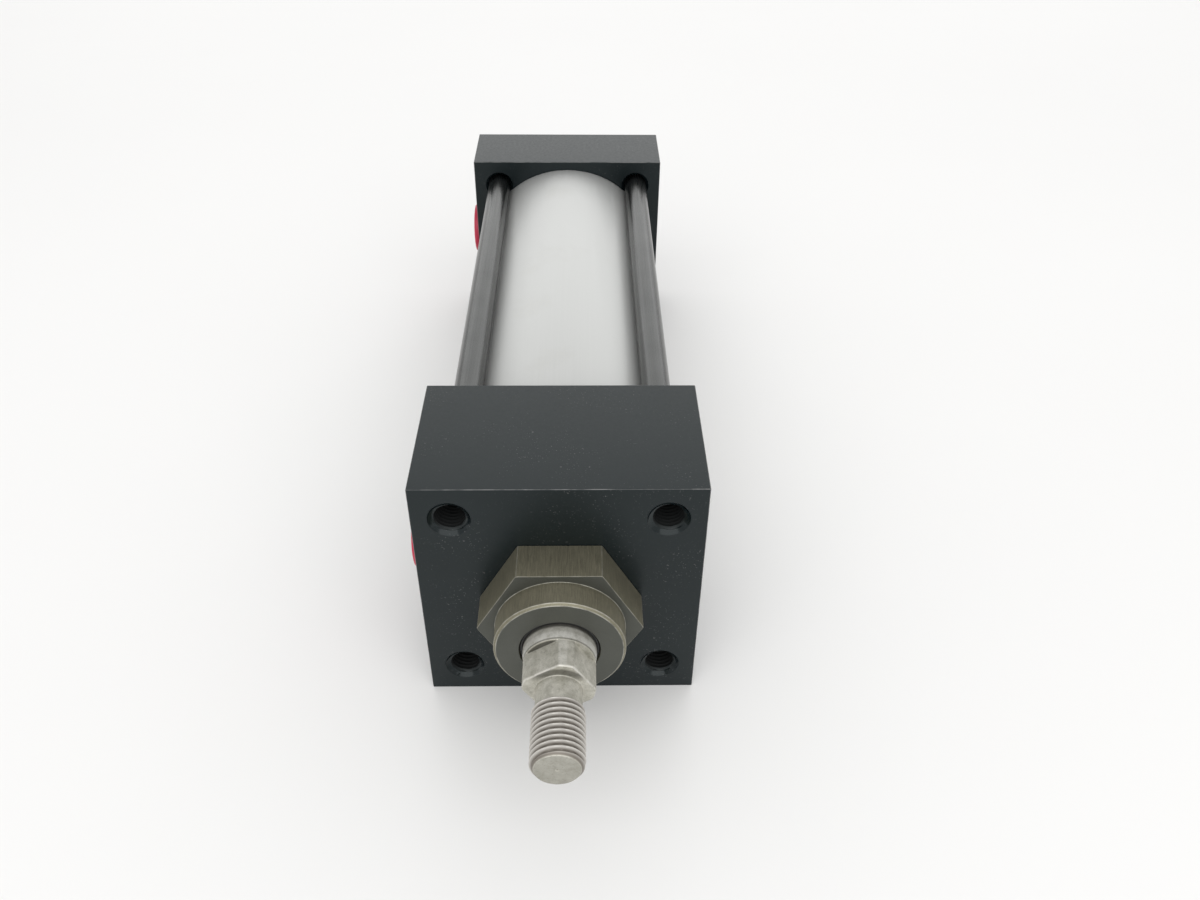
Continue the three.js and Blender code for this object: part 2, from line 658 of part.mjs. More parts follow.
addPiece("gland", glandCartridge(), oxidisedIron());
addPiece("rod_wiper", rodWiper(), sealRubber());
addPiece("rod_seal", rodSeal(), sealRubber());
addPiece("rod_bushing", rodBushing(), bronze());
addPiece("gland_o_ring", glandORing(), sealRubber());

addPiece("piston_rod", pistonRod(), stainless());
addPiece("piston", pistonBody(), aluminium());
addPiece("piston_seal_front", pistonSeal(FRONT_SEAL_FROM, -1), sealRubber());
addPiece("piston_seal_rear", pistonSeal(REAR_SEAL_FROM, 1), sealRubber());
addPiece("piston_wear_band", wearBand(), bearingTape());
addPiece("piston_o_ring", pistonORing(), sealRubber());
addPiece("piston_nut", pistonNut(), blackSteel());
addPiece("bumper_front", bumper(PISTON_START - BUMPER_THICKNESS), urethane());
addPiece("bumper_rear", bumper(PISTON_END + REST_GAP), urethane());

// Each plug's flange stands off the block's side by its own small amount, as a tapered plug seats.
for (const [name, depth, standOff] of [
  ["port_plug_head", HEAD_PORT_DEPTH, HEAD_PLUG_STAND_OFF],
  ["port_plug_cap", CAP_PORT_DEPTH, CAP_PLUG_STAND_OFF],
]) {
  const plug = new THREE.Mesh(portPlug(), redPlastic());
  plug.name = name;
  plug.position.set(-BLOCK_WIDTH / 2 - standOff, depth, 0);
  plug.rotation.z = Math.PI / 2;
  axis.add(plug);
}

const cylinder = new THREE.Group();
cylinder.name = "pneumatic_cylinder";
cylinder.add(axis);

export default cylinder;
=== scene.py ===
"""Tie-rod pneumatic cylinder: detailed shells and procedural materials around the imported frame.

Everything is in metres in the row frame: the cylinder's axis runs along Y, the rod points to -Y and Z is up.
A "depth" is a distance along +Y from the head's front face, as in the CAD model.
"""

import math
from functools import reduce

import bmesh
import bpy
import numpy as np
from mathutils import Matrix, Vector


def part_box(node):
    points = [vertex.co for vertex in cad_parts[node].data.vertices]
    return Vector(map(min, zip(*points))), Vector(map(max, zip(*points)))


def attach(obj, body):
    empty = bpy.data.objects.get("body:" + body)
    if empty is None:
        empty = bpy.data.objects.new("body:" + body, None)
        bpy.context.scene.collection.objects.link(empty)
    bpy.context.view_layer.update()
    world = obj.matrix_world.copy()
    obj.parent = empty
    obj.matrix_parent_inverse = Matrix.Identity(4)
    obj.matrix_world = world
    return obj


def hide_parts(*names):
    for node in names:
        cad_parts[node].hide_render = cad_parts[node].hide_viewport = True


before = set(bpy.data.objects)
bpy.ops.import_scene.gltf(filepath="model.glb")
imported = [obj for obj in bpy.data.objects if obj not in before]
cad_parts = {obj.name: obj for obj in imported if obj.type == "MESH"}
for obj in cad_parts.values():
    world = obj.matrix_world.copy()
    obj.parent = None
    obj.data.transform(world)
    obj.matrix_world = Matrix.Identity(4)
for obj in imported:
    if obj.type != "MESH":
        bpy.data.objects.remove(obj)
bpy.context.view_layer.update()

# ---------------------------------------------------------------- sizes

MM = 0.001
INCH = 25.4 * MM

HEAD_LOW, HEAD_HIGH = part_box("head")
CAP_LOW, CAP_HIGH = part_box("cap")
WIDTH = HEAD_HIGH.x - HEAD_LOW.x
AXIS_Z = (HEAD_LOW.z + HEAD_HIGH.z) / 2
FACE_Y = HEAD_LOW.y
HEAD_DEPTH = HEAD_HIGH.y - HEAD_LOW.y
CAP_START = CAP_LOW.y - FACE_Y
CAP_END = CAP_HIGH.y - FACE_Y

BLOCK_EDGE = 0.26 * MM
BORE_RADIUS = 1.0 * INCH
TUBE_RADIUS = 28.9 * MM
TUBE_SOCKET_DEPTH = 3.2 * MM
CAVITY_RADIUS = 12.5 * MM
CAP_CAVITY_DEPTH = 21 * MM
OVERCUT = 1 * MM

TIE_ROD_OFFSET = 0.92 * INCH
TIE_ROD_RADIUS = 3.62 * MM
TIE_ROD_HOLE_RADIUS = 3.75 * MM
TIE_ROD_PITCH = INCH / 24
MOUNTING_THREAD_RADIUS = 3.95 * MM
MOUNTING_HOLE_RADIUS = 3.4 * MM
MOUNTING_HOLE_DEPTH = 17.5 * MM
MOUNTING_THREAD_START = 0.9 * MM
COUNTERSINK_RADIUS = 4.7 * MM
COUNTERSINK_DEPTH = 1.5 * MM
COUNTERSINK_FLOOR = 0.65 * MM
NUT_RECESS_RADIUS = 6.5 * MM
NUT_RECESS_DEPTH = 10 * MM
NUT_SOCKET_ACROSS_FLATS = 7.9 * MM
NUT_SOCKET_DEPTH = 4.2 * MM

GLAND_ACROSS_FLATS = 1.25 * INCH
GLAND_HEX_HEIGHT = 0.375 * INCH
PILOT_RADIUS = 0.562 * INCH
PILOT_HEIGHT = 0.25 * INCH
GLAND_BODY_RADIUS = 13.2 * MM
GLAND_BODY_LENGTH = 14.2 * MM
GLAND_CORNER_RADIUS = 18.22 * MM
GLAND_EDGE = 0.16 * MM
GLAND_REAR_RADIUS = 9.6 * MM
GLAND_THREAD_PITCH = INCH / 16
GLAND_THREAD_DEPTH = 0.8 * MM
GLAND_THREAD_START = 0.8 * MM
GLAND_THREAD_END = 10.4 * MM
O_RING_GROOVE_DEPTH = 1.9 * MM
O_RING_GROOVE_START = 10.8 * MM
O_RING_GROOVE_END = 13.2 * MM
GLAND_HOLE_RADIUS = 13.4 * MM
GLAND_HOLE_DEPTH = 14.5 * MM
GLAND_BORE_RADIUS = 8.15 * MM
WIPER_MOUTH_RADIUS = 8.75 * MM
WIPER_GROOVE_RADIUS = 11.1 * MM
WIPER_LIP_RADIUS = 8.0 * MM
WIPER_INSET = 1.0 * MM
WIPER_LENGTH = 3.6 * MM
SEAL_GROOVE_RADIUS = 11.6 * MM
SEAL_SPACING = 2.8 * MM
SEAL_LENGTH = 4.4 * MM
SEAL_BACKING = 2 * MM
PILOT_FACE = -GLAND_HEX_HEIGHT - PILOT_HEIGHT
PILOT_CHAMFER = 0.55 * MM

ROD_RADIUS = 0.3125 * INCH
ROD_SHOULDER = -26.45 * MM
ROD_STUD_LENGTH = 0.75 * INCH
ROD_STUD_RADIUS = 5.55 * MM
ROD_NECK_RADIUS = 4.87 * MM
ROD_NECK_LENGTH = 5.2 * MM
ROD_THREAD_PITCH = INCH / 20
ROD_THREAD_DEPTH = 0.68 * MM
ROD_THREAD_END = ROD_SHOULDER - ROD_NECK_LENGTH
ROD_TIP_CHAMFER = 1.0 * MM
ROD_WRENCH_RADIUS = 7.72 * MM
ROD_TAPER_START = -17.4 * MM
ROD_TAPER_LENGTH = 1.5 * MM
ROD_SHOULDER_CHAMFER = 0.5 * MM
ROD_ACROSS_FLATS = 12.9 * MM
ROD_FLATS_LENGTH = 7.05 * MM
ROD_FLATS_END = ROD_SHOULDER + ROD_FLATS_LENGTH
ROD_FLATS_TURN = math.radians(12)
ROD_SPIGOT_RADIUS = 6.3 * MM
ROD_REAR_THREAD_RADIUS = 5.9 * MM
ROD_DIMPLE_RADIUS = 0.5 * MM

PORT_RADIUS = 6.85 * MM
PORT_DEPTH = 13 * MM
PORT_DRILL_RADIUS = 4.5 * MM
PLUG_FLANGE = 2.1 * MM
PLUG_END_RADIUS = 6.0 * MM
PLUG_SHANK_RADIUS = 6.65 * MM
PLUG_MOUTH_RADIUS = 4.9 * MM
PLUG_FLOOR_RADIUS = 4.2 * MM
PLUG_HOLLOW_DEPTH = 9.2 * MM
PLUG_CENTRE_RADIUS = 0.4 * MM
PLUG_FILLET = 0.5 * MM

# A thread's flat crest and its flank, as shares of half a turn.
THREAD_CREST = 0.15
THREAD_FLANK = 0.62

FILLET_STEPS = 3
SHARP_ANGLE = math.radians(32)
ROD_SHARP_ANGLE = math.radians(28)

FLOOR_SIZE = 6.0

# ---------------------------------------------------------------- camera and light

# The viewpoint, in widths of the head from the centre of its front face, and its turn in degrees.
VIEWPOINT = Vector((0.07815, -2.51744, 2.64555))
VIEW_DOWN = math.radians(38.206)
VIEW_TURN = math.radians(1.264)
VIEW_ROLL = math.radians(0.642)
LENS_MM = 30.386
SENSOR_MM = 36

SKY_COLOUR = (1.0, 0.998, 0.992, 1)
SKY_STRENGTH = 0.775


def add_camera():
    data = bpy.data.cameras.new("camera")
    data.lens = LENS_MM
    data.sensor_width = SENSOR_MM
    data.sensor_fit = "HORIZONTAL"
    data.clip_start = 0.01
    camera = bpy.data.objects.new("camera", data)
    bpy.context.scene.collection.objects.link(camera)
    place = Vector((0, FACE_Y, AXIS_Z)) + VIEWPOINT * WIDTH
    upright = Matrix.Rotation(math.pi / 2, 4, "X")
    turn = Matrix.Rotation(-VIEW_TURN, 4, "Z")
    tilt = Matrix.Rotation(-VIEW_DOWN, 4, "X")
    roll = Matrix.Rotation(VIEW_ROLL, 4, "Z")
    camera.matrix_world = Matrix.Translation(place) @ turn @ upright @ tilt @ roll
    bpy.context.scene.camera = camera


def add_area_light(name, place, aim, size, power):
    data = bpy.data.lights.new(name, "AREA")
    data.shape = "RECTANGLE"
    data.size, data.size_y = size
    data.energy = power
    light = bpy.data.objects.new(name, data)
    bpy.context.scene.collection.objects.link(light)
    light.location = place
    light.rotation_mode = "QUATERNION"
    light.rotation_quaternion = (Vector(aim) - Vector(place)).to_track_quat("-Z", "Y")


def add_lights():
    world = bpy.data.worlds.new("studio")
    world.use_nodes = True
    background = world.node_tree.nodes["Background"]
    background.inputs["Color"].default_value = SKY_COLOUR
    background.inputs["Strength"].default_value = SKY_STRENGTH
    bpy.context.scene.world = world
    add_area_light("overhead", place=(0.0, -1.0, 1.0), aim=(0, -0.15, 0), size=(2.2, 1.5), power=14)
    add_area_light("back_panel", place=(0.1, 1.6, 0.8), aim=(0, 0.05, 0.05), size=(2.6, 1.1), power=8.5)


def add_floor():
    mesh = bpy.data.meshes.new("floor")
    half = FLOOR_SIZE / 2
    corners = [(-half, -half, 0), (half, -half, 0), (half, half, 0), (-half, half, 0)]
    mesh.from_pydata(corners, [], [(0, 1, 2, 3)])
    floor = bpy.data.objects.new("floor", mesh)
    bpy.context.scene.collection.objects.link(floor)
    floor.data.materials.append(floor_paint())


# ---------------------------------------------------------------- node helpers


class Nodes:
    """A material's node tree with short calls to add and join nodes."""

    def __init__(self, name, **surface):
        self.material = bpy.data.materials.new(name)
        self.material.use_nodes = True
        self.tree = self.material.node_tree
        self.shader = self.tree.nodes["Principled BSDF"]
        self.place = self.tree.nodes.new("ShaderNodeTexCoord").outputs["Object"]
        for socket, value in surface.items():
            self.shader.inputs[socket.replace("_", " ")].default_value = value

    def feed(self, socket, value):
        if isinstance(value, bpy.types.NodeSocket):
            self.tree.links.new(value, socket)
        else:
            socket.default_value = value

    def math(self, operation, *values):
        node = self.tree.nodes.new("ShaderNodeMath")
        node.operation = operation
        for socket, value in zip(node.inputs, values):
            self.feed(socket, value)
        return node.outputs[0]

    def chain(self, operation, values):
        """Joins any number of values, two at a time."""
        return reduce(lambda first, second: self.math(operation, first, second), values)

    def product(self, *values):
        return self.chain("MULTIPLY", values)

    def total(self, *values):
        return self.chain("ADD", values)

    def largest(self, *values):
        return self.chain("MAXIMUM", values)

    def smallest(self, *values):
        return self.chain("MINIMUM", values)

    def stretched(self, scale):
        """Object coordinates multiplied by a scale for each axis."""
        node = self.tree.nodes.new("ShaderNodeMapping")
        node.inputs["Scale"].default_value = scale
        self.tree.links.new(self.place, node.inputs["Vector"])
        return node.outputs[0]

    def noise(self, scale, detail=3.0, roughness=0.55, stretch=None):
        node = self.tree.nodes.new("ShaderNodeTexNoise")
        node.inputs["Scale"].default_value = scale
        node.inputs["Detail"].default_value = detail
        node.inputs["Roughness"].default_value = roughness
        self.tree.links.new(self.stretched(stretch) if stretch else self.place, node.inputs["Vector"])
        return node.outputs[0]

    def span(self, value, from_low, from_high, to_low, to_high, smooth=False):
        """The value, held within the first two numbers and carried over to the last two."""
        node = self.tree.nodes.new("ShaderNodeMapRange")
        if smooth:
            node.interpolation_type = "SMOOTHSTEP"
        for socket, number in zip(node.inputs, (value, from_low, from_high, to_low, to_high)):
            self.feed(socket, number)
        return node.outputs[0]

    def blend(self, factor, first, second):
        node = self.tree.nodes.new("ShaderNodeMix")
        node.data_type = "RGBA"
        self.feed(node.inputs[0], factor)
        self.feed(node.inputs[6], first)
        self.feed(node.inputs[7], second)
        return node.outputs[2]

    def bump(self, height, depth, strength=1.0):
        """Gives the surface a relief; depth is the relief's full height in metres."""
        node = self.tree.nodes.new("ShaderNodeBump")
        node.inputs["Distance"].default_value = depth
        node.inputs["Strength"].default_value = strength
        self.tree.links.new(height, node.inputs["Height"])
        self.feed(self.shader.inputs["Normal"], node.outputs[0])

    def near(self, value, middle, reach):
        """1 where the value is at the middle, falling to 0 at the reach on either side of it."""
        distance = self.math("ABSOLUTE", self.math("SUBTRACT", value, middle))
        return self.span(distance, reach * 0.4, reach, 1, 0, smooth=True)

    def depth(self):
        """Distance along the axis from the head's front face."""
        return self.math("SUBTRACT", self.axes()[1], FACE_Y)

    def radius(self):
        """Distance from the cylinder's axis."""
        x, _, z = self.axes()
        up = self.math("SUBTRACT", z, AXIS_Z)
        return self.math("SQRT", self.total(self.product(x, x), self.product(up, up)))

    def axes(self):
        """The three coordinates as separate values."""
        node = self.tree.nodes.new("ShaderNodeSeparateXYZ")
        self.tree.links.new(self.place, node.inputs[0])
        return node.outputs

    def colour(self, value):
        self.feed(self.shader.inputs["Base Color"], value)

    def roughness(self, value):
        self.feed(self.shader.inputs["Roughness"], value)


def grey(value):
    return (value, value, value, 1.0)


# ---------------------------------------------------------------- materials


def floor_paint():
    m = Nodes("floor_paint", Roughness=0.6)
    cloud = m.noise(4, detail=4)
    m.colour(m.blend(cloud, (0.815, 0.813, 0.808, 1), (0.845, 0.843, 0.838, 1)))
    return m.material


def box_distances(m, low, high):
    """How far a point is from the nearest face of a box and, on a face, from the nearest edge, in metres."""
    distances = []
    for axis, coordinate in enumerate(m.axes()):
        middle = (low[axis] + high[axis]) / 2
        half = (high[axis] - low[axis]) / 2
        offset = m.math("ABSOLUTE", m.math("SUBTRACT", coordinate, middle))
        distances.append(m.math("SUBTRACT", half, offset))
    nearest = m.smallest(*distances)
    farthest = m.largest(*distances)
    middle_one = m.math("SUBTRACT", m.math("SUBTRACT", m.total(*distances), nearest), farthest)
    return nearest, middle_one


def black_anodised(name, low, high):
    """Black anodised aluminium with dust, tool marks and chipped edges, and painted shade inside its holes."""
    m = Nodes(name, IOR=1.38, Specular_Tint=(0.93, 1.0, 1.0, 1))
    face, rim = box_distances(m, low, high)
    grain = m.noise(1100, detail=4, roughness=0.7)
    tooling = m.noise(1, detail=2, stretch=(140, 140, 9000))
    cloud = m.noise(35, detail=4)
    fine_dust = m.span(m.noise(2600, detail=1), 0.68, 0.74, 0, 1)
    coarse_dust = m.span(m.noise(900, detail=1), 0.74, 0.79, 0, 1)
    patches = m.span(m.noise(75, detail=3), 0.45, 0.65, 0.1, 1)
    specks = m.product(m.largest(fine_dust, coarse_dust), patches)
    edge = m.span(rim, 0.06 * MM, 0.24 * MM, 1, 0, smooth=True)
    chipped = m.product(edge, m.span(m.noise(240, detail=3), 0.4, 0.6, 0.3, 1))
    base = m.blend(cloud, (0.003, 0.006, 0.007, 1), (0.0065, 0.0105, 0.012, 1))
    dusty = m.blend(specks, base, grey(0.085))
    worn = m.blend(chipped, dusty, grey(0.17))
    # painted shade: the holes' insides are painted near-black, without dust or chips
    inside = m.span(face, COUNTERSINK_DEPTH * 0.5, COUNTERSINK_DEPTH * 1.2, 0, 1)
    m.colour(m.blend(inside, worn, grey(0.003)))
    matt = m.span(grain, 0.3, 0.7, 0.28, 0.42)
    glossy = m.product(matt, m.span(face, 0.05 * MM, 0.2 * MM, 1, 0.55))
    m.roughness(m.largest(glossy, m.product(inside, 0.8)))
    m.bump(m.total(grain, m.product(tooling, 0.6)), 0.006 * MM, 0.5)
    return m.material


def clear_anodised():
    """Clear anodised tube, drawn along the axis, with faint stains."""
    m = Nodes("clear_anodised_tube", Metallic=0.4)
    drawn = m.noise(1, detail=3, stretch=(2600, 18, 2600))
    stain = m.span(m.noise(48, detail=5, roughness=0.6), 0.58, 0.75, 0, 1)
    base = m.blend(drawn, (0.5, 0.507, 0.498, 1), (0.55, 0.557, 0.546, 1))
    m.colour(m.blend(m.product(stain, 0.35), base, (0.46, 0.46, 0.435, 1)))
    m.roughness(m.span(drawn, 0.3, 0.7, 0.38, 0.48))
    m.bump(drawn, 0.004 * MM, 0.4)
    return m.material


def tie_rod_steel():
    """Dark polished steel, drawn along the axis."""
    m = Nodes("tie_rod_steel", Metallic=1.0)
    drawn = m.noise(1, detail=3, stretch=(3000, 25, 3000))
    cloud = m.noise(70, detail=4)
    m.colour(m.blend(cloud, (0.068, 0.07, 0.069, 1), (0.112, 0.114, 0.112, 1)))
    m.roughness(m.span(drawn, 0.3, 0.7, 0.2, 0.34))
    m.bump(drawn, 0.004 * MM, 0.4)
    return m.material


def oxidised_iron():
    """Oxidised iron, brushed along the axis, with bright metal where its edges are worn along with painted
    highlight lines on them, a painted highlight where the pilot meets the hexagon and painted shade on its front
    faces.
    """
    m = Nodes("gland_iron", Metallic=0.72)
    depth, radius = m.depth(), m.radius()
    brushed = m.noise(1, detail=6, roughness=0.85, stretch=(5200, 240, 5200))
    blotch = m.noise(110, detail=5, roughness=0.65)
    face_edge = m.near(depth, -GLAND_HEX_HEIGHT + 0.11 * MM, 0.11 * MM)
    corner = m.span(radius, GLAND_CORNER_RADIUS - 0.06 * MM, GLAND_CORNER_RADIUS, 0, 1)
    # painted highlight: a bright line where the pilot meets the hexagon's face
    painted_base_highlight = m.product(m.near(radius, PILOT_RADIUS, 0.16 * MM), m.near(depth, -GLAND_HEX_HEIGHT, 0.2 * MM))
    rim = m.near(radius, PILOT_RADIUS - PILOT_CHAMFER, 0.14 * MM)
    front_rim = m.product(rim, m.near(depth, PILOT_FACE, 0.2 * MM))
    shoulder = m.near(depth, PILOT_FACE + PILOT_CHAMFER, 0.16 * MM)
    # bright edges: worn metal along with painted highlight lines
    edges = m.largest(face_edge, m.product(corner, 0.6), front_rim, shoulder, painted_base_highlight)
    wear_and_highlight = m.product(edges, m.span(m.noise(420, detail=3), 0.35, 0.6, 0.2, 0.85))
    base = m.blend(blotch, (0.135, 0.128, 0.089, 1), (0.205, 0.193, 0.142, 1))
    streak = m.span(brushed, 0.42, 0.72, 0, 0.7)
    brushed_side = m.blend(streak, base, (0.36, 0.335, 0.24, 1))
    pilot_face = m.near(depth, PILOT_FACE, 0.1 * MM)
    hexagon_face = m.near(depth, -GLAND_HEX_HEIGHT, 0.04 * MM)
    # front faces of the pilot and hexagon painted darker: painted shade, on a greyer turned finish
    turned_face_painted_shade = m.blend(blotch, (0.078, 0.081, 0.07, 1), (0.108, 0.111, 0.098, 1))
    skin = m.blend(m.largest(pilot_face, hexagon_face), brushed_side, turned_face_painted_shade)
    m.colour(m.blend(wear_and_highlight, skin, (0.42, 0.41, 0.36, 1)))
    m.roughness(m.span(brushed, 0.3, 0.7, 0.42, 0.6))
    m.bump(brushed, 0.01 * MM, 0.5)
    return m.material


def rod_darkening(m, depth, radius):
    """Darker under the ledge behind the flats, mostly on the left, at the taper's foot and at the wiper; painted
    shade on the shoulder's upper part.
    """
    x, _, z = m.axes()
    one_side = m.span(x, -1.5 * MM, 1 * MM, 1, 0.15)
    ledge = m.near(depth, ROD_FLATS_END - 0.05 * MM, 0.2 * MM)
    below_ledge = m.product(ledge, one_side, m.span(radius, 7.3 * MM, 7.6 * MM, 1, 0))
    taper_foot = m.near(depth, ROD_TAPER_START - ROD_TAPER_LENGTH - 0.2 * MM, 0.3 * MM)
    # darker band where the rod enters the wiper
    band_at_wiper = m.near(depth, PILOT_FACE + 0.5 * MM, 1.1 * MM)
    upper = m.span(z, AXIS_Z + 2.8 * MM, AXIS_Z + 4.6 * MM, 0, 1)
    on_face = m.near(depth, ROD_SHOULDER, 0.22 * MM)
    off_edge = m.span(radius, 6.3 * MM, 6.9 * MM, 1, 0)
    # painted shade on the upper part of the shoulder's face
    shoulder = m.product(upper, on_face, off_edge, 0.8)
    return m.largest(below_ledge, m.product(taper_foot, 0.5), band_at_wiper, shoulder)


def rod_wear_and_highlight(m, depth, radius):
    """Bright metal on the shoulder's edge, on the taper and behind it, and a painted highlight on the strip
    between two flats.
    """
    x = m.axes()[0]
    shoulder_edge = m.near(depth, ROD_SHOULDER + 0.3 * MM, 0.28 * MM)
    shoulder = m.product(shoulder_edge, m.span(radius, 6.2 * MM, 6.5 * MM, 0, 1), 0.5)
    on_flats = m.span(depth, ROD_FLATS_END - 0.3 * MM, ROD_FLATS_END - 0.1 * MM, 1, 0)
    round_part = m.product(m.span(radius, 7.6 * MM, 7.7 * MM, 0, 1), on_flats)
    # painted highlight along the bright strip between two flats
    painted_strip_highlight = m.product(m.span(x, 1.6 * MM, 1.85 * MM, 1, 0), m.span(x, -1 * MM, 0, 0, 1))
    taper = m.near(depth, ROD_TAPER_START - ROD_TAPER_LENGTH / 2, 1.2 * MM)
    ring = m.span(depth, ROD_TAPER_START - 0.2 * MM, ROD_TAPER_START + 0.2 * MM, 0, 0.4)
    return m.largest(shoulder, m.product(round_part, painted_strip_highlight, 0.4), taper, ring)


def rod_steel():
    """Bare steel gone dull, darker in its corners and the thread's roots, with painted shade on the shoulder,
    bright worn edges, a painted highlight on the strip between two flats and a ground shaft that slides in the
    gland."""
    m = Nodes("rod_steel", Metallic=0.68)
    depth, radius = m.depth(), m.radius()
    turned = m.noise(1, detail=4, roughness=0.7, stretch=(90, 2600, 90))
    blotch = m.noise(330, detail=8, roughness=0.85)
    pits = m.span(m.noise(1500, detail=3), 0.58, 0.72, 0, 0.4)
    base = m.blend(m.span(blotch, 0.35, 0.65, 0, 1), (0.35, 0.34, 0.285, 1), (0.62, 0.605, 0.545, 1))
    pitted = m.blend(pits, base, (0.17, 0.165, 0.14, 1))

    crest = m.span(radius, ROD_STUD_RADIUS - ROD_THREAD_DEPTH + 0.1 * MM, ROD_STUD_RADIUS, 0, 1)
    threaded = m.blend(crest, (0.21, 0.19, 0.165, 1), (0.6, 0.58, 0.545, 1))
    tip = ROD_SHOULDER - ROD_STUD_LENGTH
    before_neck = m.span(depth, ROD_THREAD_END - 0.5 * MM, ROD_THREAD_END, 1, 0)
    behind_tip = m.span(depth, tip + 0.1 * MM, tip + 0.3 * MM, 0, 1)
    end_face = m.span(depth, tip + 0.03 * MM, tip + 0.1 * MM, 0.4, 0)
    plain = m.blend(end_face, pitted, (0.2, 0.195, 0.17, 1))
    steel = m.blend(m.product(before_neck, behind_tip), plain, threaded)

    # bright wear, along with the painted strip highlight
    wear_and_highlight = m.product(rod_wear_and_highlight(m, depth, radius), m.span(blotch, 0.35, 0.6, 0.25, 1))
    worn = m.blend(wear_and_highlight, steel, (0.76, 0.75, 0.71, 1))
    ground = m.span(depth, PILOT_FACE + 0.8 * MM, PILOT_FACE + 1.4 * MM, 0, 1)
    sliding = m.blend(blotch, (0.56, 0.56, 0.55, 1), (0.64, 0.64, 0.63, 1))
    finished = m.blend(ground, worn, sliding)
    # darker bands, with painted shade on the shoulder
    darkening = m.product(rod_darkening(m, depth, radius), 0.85)
    m.colour(m.blend(darkening, finished, (0.06, 0.058, 0.048, 1)))
    m.roughness(m.math("SUBTRACT", m.span(blotch, 0.3, 0.7, 0.46, 0.6), m.product(ground, 0.26)))
    relief = m.total(turned, m.product(blotch, 0.8))
    m.bump(m.product(relief, m.span(ground, 0, 1, 1, 0.12)), 0.012 * MM, 0.5)
    return m.material


def moulded(name, dark, light, roughness, subsurface=0.0):
    """A moulded plastic or rubber with a fine matt skin."""
    m = Nodes(name)
    skin = m.noise(1500, detail=2)
    cloud = m.noise(120, detail=3)
    m.colour(m.blend(cloud, (*dark, 1), (*light, 1)))
    m.roughness(m.span(skin, 0.3, 0.7, roughness - 0.06, roughness + 0.06))
    m.shader.inputs["Subsurface Weight"].default_value = subsurface
    m.shader.inputs["Subsurface Scale"].default_value = 1.5 * MM
    m.bump(skin, 0.01 * MM, 0.4)
    return m.material


def machined(name, dark, light, roughness):
    """Bare metal turned on a lathe, with fine rings."""
    m = Nodes(name, Metallic=1.0)
    rings = m.noise(1, detail=3, stretch=(60, 3500, 60))
    cloud = m.noise(110, detail=4)
    m.colour(m.blend(cloud, (*dark, 1), (*light, 1)))
    m.roughness(m.span(rings, 0.3, 0.7, roughness - 0.08, roughness + 0.08))
    m.bump(rings, 0.006 * MM, 0.5)
    return m.material


# ---------------------------------------------------------------- mesh helpers

AXIS = Matrix.Translation((0, FACE_Y, AXIS_Z))


def full_turn(sides):
    return np.arange(sides) * 2 * math.pi / sides


def finish_mesh(name, bm, material, sharp=SHARP_ANGLE):
    """A smooth-shaded object from a bmesh whose faces are turned outwards."""
    bmesh.ops.recalc_face_normals(bm, faces=bm.faces)
    mesh = bpy.data.meshes.new(name)
    bm.to_mesh(mesh)
    bm.free()
    mesh.shade_smooth()
    mesh.set_sharp_from_angle(angle=sharp)
    piece = bpy.data.objects.new(name, mesh)
    bpy.context.scene.collection.objects.link(piece)
    if material:
        mesh.materials.append(material)
    return piece


def ring_stack(rings, angles, place=AXIS, closed=False):
    """A bmesh through rings about a depth axis. A ring is (radius, depth), and each of the two is one number,
    or one for each angle. A closed stack joins its last ring to its first, and an open one is capped at both
    ends."""
    count = len(angles)
    bm = bmesh.new()
    rows = []
    for radius, depth in rings:
        radii = np.broadcast_to(radius, count)
        depths = np.broadcast_to(depth, count)
        points = zip(radii * np.sin(angles), depths, radii * np.cos(angles))
        rows.append([bm.verts.new(place @ Vector(point)) for point in points])
    if closed:
        pairs = zip(rows, rows[1:] + rows[:1])
    else:
        pairs = zip(rows, rows[1:])
    for row, following in pairs:
        for i in range(count):
            j = (i + 1) % count
            bm.faces.new((row[i], row[j], following[j], following[i]))
    if not closed:
        for row in (rows[0], rows[-1]):
            middle = bm.verts.new(sum((v.co for v in row), Vector()) / count)
            for i in range(count):
                bm.faces.new((row[i], row[(i + 1) % count], middle))
    return bm


def rounded(outline, closed=False):
    """The outline's points (radius, depth, fillet) as plain (radius, depth) points, each corner with a fillet
    turned into a short arc."""
    result = []
    count = len(outline)
    for i, (radius, depth, *rest) in enumerate(outline):
        fillet = rest[0] if rest else 0
        inner = closed or 0 < i < count - 1
        if not fillet or not inner:
            result.append((radius, depth))
            continue
        corner = Vector((radius, depth))
        before = (Vector(outline[i - 1][:2]) - corner).normalized()
        after = (Vector(outline[(i + 1) % count][:2]) - corner).normalized()
        half_angle = before.angle(after) / 2
        reach = fillet / math.tan(half_angle)
        centre = corner + (before + after).normalized() * fillet / math.sin(half_angle)
        start = corner + before * reach - centre
        turn = start.angle_signed(corner + after * reach - centre)
        for step in range(FILLET_STEPS + 1):
            arm = start.copy()
            arm.rotate(Matrix.Rotation(-turn * step / FILLET_STEPS, 2))
            result.append(tuple(centre + arm))
    return result


def lathe(name, outline, material, sides=96, closed=False, place=AXIS):
    """A round piece turned from an outline of (radius, depth) points."""
    return finish_mesh(name, ring_stack(rounded(outline, closed), full_turn(sides), place, closed), material)


